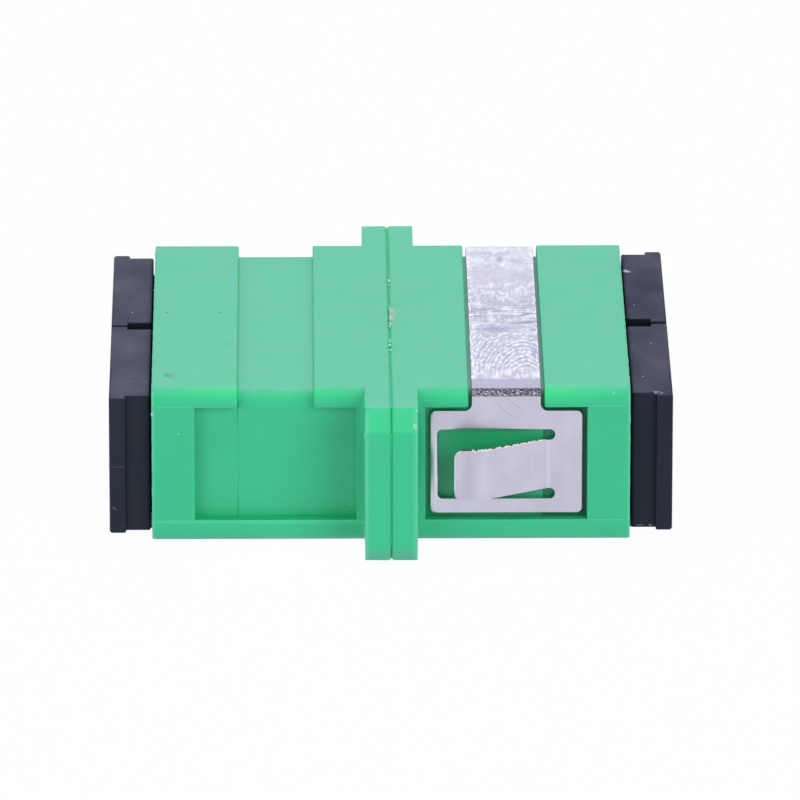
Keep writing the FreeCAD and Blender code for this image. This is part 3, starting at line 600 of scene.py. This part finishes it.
def plated_spring_steel():
    """Nickel-plated strip: bright and satin on the wings with faint rolling streaks, mottled and
    scuffed on the strip where the tool dragged, and crazed dark where the plating cracked in the fold."""
    material, tree = new_material("nickel_plated_spring_steel")
    place = in_millimetres(tree)
    x, y, z = add_node(tree, "ShaderNodeSeparateXYZ", i0=place).node.outputs
    depth = add_node(tree, "ShaderNodeMath", {"operation": "ABSOLUTE"}, i0=y)
    either_side = add_node(tree, "ShaderNodeCombineXYZ", i0=x, i1=depth, i2=z)

    apart = add_node(tree, "ShaderNodeVectorMath", {"operation": "SUBTRACT"}, i0=place, i1=RING_PIVOT)
    stretched = add_node(tree, "ShaderNodeVectorMath", {"operation": "MULTIPLY"}, i0=apart, i1=RING_STRETCH)
    radius = add_node(tree, "ShaderNodeVectorMath", {"operation": "LENGTH"}, result="Value", i0=stretched)

    pattern = patterns(tree, place, {
        "rolled": ((0.5, 0.5, 5.0), 3.0, 0.0), "cloud": ((2.0, 2.8, 2.0), 2.0, 0.0),
        "mottle": ((0.36, 0.85, 0.4), 4.0, 0.6), "blotch": ((1.3, 1.5, 1.0), 2.0, 0.4),
        "drag": ((1.8, 0.26, 1.0), 3.0, 0.5), "stray": ((0.7, 1.6, 1.0), 2.0, 0.0),
        "broken": ((0.24, 0.45, 1.0), 2.0, 0.0), "spark": ((0.15, 0.34, 0.4), 1.0, 0.0),
        "fan": ((0.17, 2.4, 1.0), 1.0, 0.0), "crazing": ((0.15, 0.08, 0.07), 3.0, 0.6),
        "glint": ((0.14, 0.09, 0.09), 1.0, 0.0), "wear": ((0.1, 0.5, 0.4), 1.0, 0.0)})
    wander = add_node(tree, "ShaderNodeMath", {"operation": "MULTIPLY_ADD"}, i0=pattern["stray"],
                      i1=RING_WANDER, i2=radius)
    turned = add_node(tree, "ShaderNodeMath", {"operation": "MULTIPLY"}, i0=wander, i1=2 * math.pi / RING_GAP)
    ring = add_node(tree, "ShaderNodeMath", {"operation": "SINE"}, i0=turned)

    # Each mask is nought where its value is at the first number and one where it is at the second.
    ramps = (
        ("on strip", z, CLIP_CREST - 0.06, CLIP_CREST - 0.02), ("front", y, -CALM - 0.15, -CALM + 0.25),
        ("fold top", z, CLIP_CREST - BEND, CLIP_CREST - BEND + 0.05),
        ("fold depth", depth, WING_FACE - 0.37, WING_FACE - 0.33),
        ("fold start", z, CLIP_CREST - 0.14, CLIP_CREST - 0.04),
        ("tongue", depth, WING_FACE + 0.1, WING_FACE + 0.35),
        ("streak", pattern["rolled"], 0.3, 0.7), ("cloud", pattern["cloud"], 0.35, 0.7),
        ("light", pattern["mottle"], 0.42, 0.62), ("dim", pattern["blotch"], 0.48, 0.66),
        ("line", pattern["drag"], 0.54, 0.62), ("gleam", pattern["drag"], 0.42, 0.34),
        ("ring light", ring, 0.0, 0.8), ("ring dark", ring, -0.35, -0.9),
        ("broken", pattern["broken"], 0.46, 0.6), ("mended", pattern["broken"], 0.54, 0.42),
        ("rings start", y, -2.4, -4.0), ("rings end", y, -9.9, -8.6),
        ("fan start", y, -8.2, -9.4), ("fan", pattern["fan"], 0.5, 0.62),
        ("drag start", y, -3.8, -2.4), ("drag end", y, 2.6, 1.4),
        ("band start", y, 5.4, 6.2), ("band end", y, 8.6, 7.8), ("far", y, 3.0, 9.5),
        ("left rim", x, 4.95, 4.7), ("right rim", x, 8.3, 8.5), ("wear", pattern["wear"], 0.56, 0.62),
        ("spark", pattern["spark"], 0.68, 0.74), ("craze", pattern["crazing"], 0.44, 0.58),
        ("glint", pattern["glint"], 0.6, 0.66))
    mask = {}
    for name, value, start, stop in ramps:
        mask[name] = add_node(tree, "ShaderNodeMapRange", i0=value, i1=start, i2=stop)

    # The wings, with painted highlights along a rim at each side and on the tongue's bend, and a dull face on
    # the tongue
    satin = painted(tree, linear("#E0E1DB"), [
        ("#E6E7E0", 0.8, mask["streak"]), ("#D2D1CC", 0.6, mask["cloud"]),
        ("#F8F6F0", 0.5, mark(tree, either_side, (9.02, WING_FACE, 4.6), (0.13, 1.0, 2.4), 0.5)),
        ("#F6F4EF", 0.35, mark(tree, either_side, (5.35, 14.3, 4.7), (0.42, 1.0, 2.6), 0.2), mask["tongue"]),
        ("#C4C3C0", 0.5, mark(tree, either_side, (4.4, 14.45, 4.6), (0.6, 1.0, 2.4), 0.2)),
        ("#FFFFFF", 0.8, mark(tree, either_side, (2.57, WING_FACE, 4.6), (0.09, 1.0, 2.4), 0.4))])
    for centre, reach, middle, radii in NECK_ARCS:
        apart = add_node(tree, "ShaderNodeVectorMath", {"operation": "DISTANCE"}, result="Value",
                         i0=either_side, i1=centre)
        arc = add_node(tree, "ShaderNodeMath", {"operation": "COMPARE"}, i0=apart, i1=reach,
                       i2=ARC_HALF_WIDTH)
        satin = painted(tree, satin, [("#C4C3C4", 0.55, arc, mark(tree, either_side, middle, radii, 0.2))])

    # The strip: drag marks in its middle, rings and a fan towards the front, and worn rims
    scuffed = painted(tree, linear("#B0B6A8"), [
        ("#C8CEBC", 0.85, mask["far"]), ("#DDE3D0", 0.75, mask["light"]), ("#A6ABA1", 0.6, mask["dim"]),
        ("#B5BAAE", 0.65, mask["band start"], mask["band end"]),
        ("#8B8E90", 0.9, mask["line"], mask["drag start"], mask["drag end"]),
        ("#E6EBDC", 0.4, mask["gleam"], mask["drag start"], mask["drag end"]),
        ("#9A9DA0", 0.85, mark(tree, place, (6.15, -2.2, CLIP_CREST), (1.2, 0.75, 1.0), 0.4)),
        ("#BCC2B3", 0.4, mask["rings start"], mask["rings end"]),
        ("#F4FAEA", 0.7, mask["ring light"], mask["broken"], mask["rings start"], mask["rings end"]),
        ("#888E8C", 0.7, mask["ring dark"], mask["mended"], mask["rings start"], mask["rings end"]),
        ("#E2E3D8", 0.6, mask["fan"], mask["fan start"]),
        ("#A2A4A8", 0.9, mark(tree, place, (8.36, -6.2, CLIP_CREST), (0.26, 1.3, 1.0), 0.5)),
        ("#8E9190", 0.8, mark(tree, place, (6.6, 9.9, CLIP_CREST), (0.3, 0.7, 1.0), 0.1)),
        ("#FFFFFF", 0.7, mask["spark"]), ("#FFFFFF", 0.9, mask["left rim"], mask["wear"]),
        ("#F4F4F0", 0.8, mask["right rim"], mask["wear"])])
    calm = painted(tree, linear("#A3A7A1"), [
        ("#B1B3AD", 0.5, mask["cloud"]), ("#B9BBB4", 0.5, mask["gleam"])])

    crazed = painted(tree, linear("#535055"), [
        ("#BDB9B4", 0.9, mask["craze"]), ("#FBF9F3", 1.0, mask["glint"]),
        ("#3C3842", 0.6, mask["fold start"])])

    in_fold = add_node(tree, "ShaderNodeMath", {"operation": "MULTIPLY"}, i0=mask["fold top"],
                       i1=mask["fold depth"])
    strip = add_node(tree, "ShaderNodeMix", {"data_type": "RGBA"}, result=2, i0=mask["front"], i6=calm,
                     i7=scuffed)
    sheet = add_node(tree, "ShaderNodeMix", {"data_type": "RGBA"}, result=2, i0=mask["on strip"], i6=satin,
                     i7=strip)
    colour = add_node(tree, "ShaderNodeMix", {"data_type": "RGBA"}, result=2, i0=in_fold, i6=sheet, i7=crazed)
    sheen = add_node(tree, "ShaderNodeMapRange", i0=mask["on strip"], i3=0.27, i4=0.42)
    rough_part = add_node(tree, "ShaderNodeMath", {"operation": "MAXIMUM"}, i0=mask["on strip"], i1=in_fold)
    dents = add_node(tree, "ShaderNodeMath", {"operation": "MULTIPLY"}, i0=pattern["mottle"], i1=rough_part)
    bump = add_node(tree, "ShaderNodeBump", Strength=0.5, Distance=0.02 * MM, Height=dents)
    shader = add_node(tree, "ShaderNodeBsdfPrincipled", Base_Color=colour, Roughness=sheen, Metallic=1.0,
                      Normal=bump)
    add_node(tree, "ShaderNodeOutputMaterial", Surface=shader)
    return material


def sheared_edge():
    """The cut edge of the strip: a painted highlight, near white, on the sides that face right, duller
    on the others, with torn darker patches."""
    material, tree = new_material("sheared_steel_edge_painted_highlight")
    pattern = patterns(tree, in_millimetres(tree), {"torn": ((0.33, 0.33, 0.33), 2.0, 0.0)})
    facing = add_node(tree, "ShaderNodeNewGeometry", result="Normal")
    rightwards = add_node(tree, "ShaderNodeSeparateXYZ", i0=facing)
    # Painted highlight: near white on faces that turn to the right.
    lit_side = add_node(tree, "ShaderNodeMapRange", i0=rightwards, i1=-0.1, i2=0.35)
    patchy = add_node(tree, "ShaderNodeMapRange", i0=pattern["torn"], i1=0.6, i2=0.7)
    colour = painted(tree, linear("#DCD6CE"), [("#FFFFFF", lit_side), ("#B9B5B2", 0.6, patchy)])
    shader = add_node(tree, "ShaderNodeBsdfPrincipled", Base_Color=colour, Roughness=0.2, Metallic=1.0)
    add_node(tree, "ShaderNodeOutputMaterial", Surface=shader)
    return material


WING_EDGE = 2.23         # the wing's left edge, which is folded back from the line
FOLD_LINE, FOLD_DEPTH = 2.62, 0.055
FOLD_SPAN = (2.3, 6.9)   # heights at which the fold starts and ends


def fold_border(piece):
    """Folds the front wing's left border back. Its mesh is cut into a grid, then each point left of
    the line moves by depth * sin^2 (half a turn over the span) * (its share of the border)^2."""
    low, high = FOLD_SPAN
    cuts = [((x, 0, 0), (1, 0, 0)) for x in np.linspace(WING_EDGE + 0.07, FOLD_LINE, 4)]
    cuts += [((0, 0, z), (0, 0, 1)) for z in np.linspace(low, high, 13)]
    shape = bmesh.new()
    shape.from_mesh(piece.data)
    for point, facing in cuts:
        bmesh.ops.bisect_plane(shape, geom=shape.verts[:] + shape.edges[:] + shape.faces[:],
                               dist=SAME_PLACE, plane_co=Vector(point) * MM, plane_no=facing)
    shape.to_mesh(piece.data)
    shape.free()

    places = np.empty(len(piece.data.vertices) * 3)
    piece.data.vertices.foreach_get("co", places)
    places = places.reshape(-1, 3)
    x, y, z = places.T / MM
    on_border = (x < FOLD_LINE) & (y < -WING_FACE + SHEET + 0.05) & (low < z) & (z < high)
    share = np.sin(np.pi * (z - low) / (high - low)) * (FOLD_LINE - x) / (FOLD_LINE - WING_EDGE)
    places[:, 1] += np.where(on_border, FOLD_DEPTH * MM * share ** 2, 0)
    piece.data.vertices.foreach_set("co", places.ravel())
    piece.data.update()


clip = bevelled_copy("panel_clip", "clip", CLIP_EDGE)
fold_border(clip)
clip.data.materials.append(plated_spring_steel())
clip.data.materials.append(sheared_edge())
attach(clip, "adapter")
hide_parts("panel_clip")

# The punch leaves a ragged burr on the front tongue's upper edge, bright where it smeared and dark
# where it tore, from its rounded corner to the root, and a bright lip down the tongue's free end.
TONGUE_FACE, TONGUE_TOP = -14.43, 6.19
TONGUE_BENDS = ((3.98, TONGUE_FACE), (4.9, TONGUE_FACE), (5.6, -14.26), (8.9, -12.54))   # from above
TONGUE_CORNER = (4.04, 5.76)   # middle of the rounded corner of its free end
TONGUE_CORNER_RADIUS = 0.4
LIP_SIDE, LIP_SPAN = 3.63, (5.5, 3.6)
TEARS = (                      # first and last points along the burr
    (0, 14), (15, 20), (36, 42), (48, 53), (57, 64), (70, 74), (79, 83), (93, 96))

burr_line = along([(x, y, TONGUE_TOP) for x, y in TONGUE_BENDS], step=0.05)
burr_line[:, 2] += 0.025 * uneven(len(burr_line), waves=70, seed=52)
burr_radius = ragged(burr_line, radius=0.06, swing=0.035, limits=(0.02, 0.12), waves=60, seed=51)
turn = np.linspace(np.pi / 2, np.pi, 7)
lip_across = TONGUE_CORNER[0] + TONGUE_CORNER_RADIUS * np.cos(turn)
lip_height = TONGUE_CORNER[1] + TONGUE_CORNER_RADIUS * np.sin(turn)
lip_across = np.concatenate([lip_across, np.full(12, LIP_SIDE)])
lip_height = np.concatenate([lip_height, np.linspace(*LIP_SPAN, 12)])
lip = np.stack([lip_across, np.full(len(lip_across), TONGUE_FACE), lip_height], axis=1)

smeared_steel, tree = new_material("smeared_steel")
pattern = patterns(tree, in_millimetres(tree), {"smear": ((0.2, 0.2, 0.2), 2.0, 0.0)})
tone = painted(tree, linear("#FFFFFF"), [("#EFE6D8", pattern["smear"])])
shader = add_node(tree, "ShaderNodeBsdfPrincipled", Base_Color=tone, Roughness=0.35, Metallic=0.3)
add_node(tree, "ShaderNodeOutputMaterial", Surface=shader)
burr = [thread(burr_line, burr_radius, up=(0, 0, 1), sides=7), thread(lip, 0.04, up=(0, -1, 0), sides=7)]
piece_from("tongue_burr", burr, smeared_steel, "adapter")

torn_steel, tree = new_material("torn_steel")
pattern = patterns(tree, in_millimetres(tree), {"tear": ((0.1, 0.1, 0.1), 2.0, 0.0)})
tone = painted(tree, linear("#2E2A30"), [("#6A6468", pattern["tear"])])
shader = add_node(tree, "ShaderNodeBsdfPrincipled", Base_Color=tone, Roughness=0.5, Metallic=1.0)
add_node(tree, "ShaderNodeOutputMaterial", Surface=shader)
torn_line = burr_line + (0, -0.03, 0.07)
tears = [thread(torn_line[start:stop], 0.05, up=(0, 0, 1), sides=6) for start, stop in TEARS]
piece_from("tongue_tears", tears, torn_steel, "adapter")

# ---------------------------------------------------------------------------------------------
# Dust caps. Blue-black plastic plugs, moulded in pairs that almost touch: a hollow plug inside
# the port, a neck and a plate to pull them by. The parting line of the mould runs round them.
# ---------------------------------------------------------------------------------------------
NECK, PLATE = 13.8, 14.05      # where the neck leaves the port, and where its plate starts


def cap_plastic(name, colour, cloud_colour, roughness, marks=()):
    """Soft polyolefin: dark and slightly cloudy, with a handled sheen that is duller in places and, as
    painted shade, nearly gone where the neck meets the port. Its moulded grain is drawn coarser than
    the real one so that it shows. Pale specks and rubs sit where marks places them."""
    material, tree = new_material(name)
    place = in_millimetres(tree)
    pattern = patterns(tree, place, {
        "cloud": ((2.2, 4.0, 3.3), 3.0, 0.0), "grain": ((0.2, 0.2, 0.2), 3.0, 0.0)})
    cloudy = add_node(tree, "ShaderNodeMapRange", i0=pattern["cloud"], i1=0.35, i2=0.65)
    layers = [(cloud_colour, cloudy)]
    layers += [(PALE_SPECK, amount, mark(tree, place, centre, radii)) for centre, radii, amount in marks]
    tone = painted(tree, linear(colour), layers)
    sheen = add_node(tree, "ShaderNodeMapRange", i0=pattern["cloud"], i1=0.3, i2=0.7, i3=roughness - 0.1,
                     i4=roughness + 0.1)
    x = add_node(tree, "ShaderNodeSeparateXYZ", i0=place)
    outwards = add_node(tree, "ShaderNodeMath", {"operation": "ABSOLUTE"}, i0=x)
    # Painted shade: the sheen is turned down on the neck where it meets the port.
    gloss_shaded_at_port = add_node(tree, "ShaderNodeMapRange", i0=outwards, i1=NECK, i2=PLATE, i3=0.1, i4=0.5)
    bump = add_node(tree, "ShaderNodeBump", Strength=0.3, Distance=0.01 * MM, Height=pattern["grain"])
    shader = add_node(tree, "ShaderNodeBsdfPrincipled", Base_Color=tone, Roughness=sheen, IOR=1.46,
                      Specular_IOR_Level=gloss_shaded_at_port, Normal=bump)
    add_node(tree, "ShaderNodeOutputMaterial", Surface=shader)
    return material


PALE_SPECK = "#C4C6CE"
LEFT_TOP, RIGHT_TOP = (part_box(f"dust_cap_{side}_front")[1][2] / MM for side in ("left", "right"))
CAP_SPECKS = (   # centre, half sizes in mm, and how pale
    ((-14.95, 2.30, LEFT_TOP), (0.05, 0.13, 0.2), 1.0), ((14.33, 3.08, RIGHT_TOP), (0.05, 0.14, 0.2), 0.7),
    ((15.13, -3.54, RIGHT_TOP), (0.05, 0.12, 0.2), 0.6), ((14.51, -9.12, RIGHT_TOP), (0.06, 0.13, 0.2), 0.6),
    ((-15.17, -12.3, 2.78), (0.04, 0.2, 0.08), 0.6), ((-15.6, -12.45, 4.5), (0.9, 0.4, 0.075), 0.06),
    ((14.3, -11.8, 0.68), (0.3, 0.2, 0.035), 0.35), ((14.9, -11.8, 0.68), (0.13, 0.2, 0.05), 0.6))
CAP_EDGE = 0.1 * MM
PARTING_HEIGHT = 4.5
PARTING_INSET = 0.004    # how far the parting line's middle lies inside the plate's faces
PARTING_REACH = 0.9      # and how far it runs back from the outer face

cap_plastics = {
    "left": cap_plastic("moulded_cap_plastic_left", "#0D1720", "#152029", 0.57, CAP_SPECKS),
    "right": cap_plastic("moulded_cap_plastic_right", "#0A141D", "#121C27", 0.64, CAP_SPECKS)}
# The rounded edges and the parting lines take a lighter tone as a painted highlight.
cap_edge_highlight = cap_plastic("moulded_cap_plastic_edge_highlight", "#222A36", "#282F3C", 0.45)
scraped = cap_plastic("scraped_cap_plastic", "#6C7080", "#7C8090", 0.5)
torn_plastic = cap_plastic("torn_cap_plastic", "#A8AAA8", "#C4C6C2", 0.6)

for side, sign in (("right", 1), ("left", -1)):
    for row, depth in (("front", -1), ("back", 1)):
        node, body = f"dust_cap_{side}_{row}", f"cap_{side}_{row}"
        cap = bevelled_copy(node, body, CAP_EDGE)
        cap.data.materials.append(cap_plastics[side])
        cap.data.materials.append(cap_edge_highlight)
        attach(cap, body)
        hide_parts(node)

        near, far = (np.array(corner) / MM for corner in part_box(node))
        outer = (far if side == "right" else near)[0] - sign * PARTING_INSET
        root = outer - sign * PARTING_REACH
        front, back = near[1] + PARTING_INSET, far[1] - PARTING_INSET
        route = ((root, front), (outer, front), (outer, back), (root, back))
        line = along([(x, y, PARTING_HEIGHT) for x, y in route], step=0.12)
        radius = ragged(line, radius=0.014, swing=0.006, limits=(0.006, 0.026), waves=80,
                        seed=60 + sign + 5 * depth)
        parting = thread(line, radius, up=(0, 0, 1), sides=6)
        piece_from(f"parting_line_{side}_{row}", [parting], cap_edge_highlight, body)

# Handling left a curved scratch and two ticks on one cap, and two chips and a torn nick on others.
SCRATCH = ((-15.47, -9.87), (-14.95, -9.5), (-14.44, -9.29), (-14.15, -9.5), (-13.98, -9.88))
PLATE_FRONT = -12.3
TICKS = (   # ends, seen from the front, and step
    (((-15.96, 2.0), (-15.74, 1.86)), 0.04), (((-15.9, 1.96), (-15.85, 2.05)), 0.03))
CHIP_TOP = RIGHT_TOP - 0.02
CHIPS = (((15.2, -11.75, CHIP_TOP), (0.17, 0.2, 0.05), 71), ((15.5, -11.9, CHIP_TOP), (0.12, 0.12, 0.04), 72))
NICK_PLACE = (14.1, 9.1)
NICK_RADII = (0.24, 0.44, 0.03)

scratch = along([(x, y, LEFT_TOP) for x, y in SCRATCH], step=0.06)
scratches = [thread(scratch, 0.018, up=(0, 0, 1), sides=6)]
for ends, step in TICKS:
    tick = along([(x, PLATE_FRONT, z) for x, z in ends], step)
    scratches.append(thread(tick, 0.02, up=(0, -1, 0), sides=6))
piece_from("scratch_left_front", scratches, scraped, "cap_left_front")
piece_from("chip_right_front", [lump(*chip) for chip in CHIPS], scraped, "cap_right_front")

# The nick is a flat lump that narrows to its right, towards its front.
nick, faces = lump((0.0, 0.0, RIGHT_TOP - 0.01), NICK_RADII, 73, roughness=0.05)
taper = np.clip(0.5 - nick[:, 0] / (2 * NICK_RADII[0]), 0.0, 1.0)
nick[:, 1] = nick[:, 1] * taper - 0.3 * (1 - taper)
nick[:, :2] += NICK_PLACE
piece_from("nick_right_back", [(nick, faces)], torn_plastic, "cap_right_back")

# ---------------------------------------------------------------------------------------------
# Finish. The plain view transform keeps the plastics' own colours.
# ---------------------------------------------------------------------------------------------
bpy.context.scene.view_settings.view_transform = "Standard"
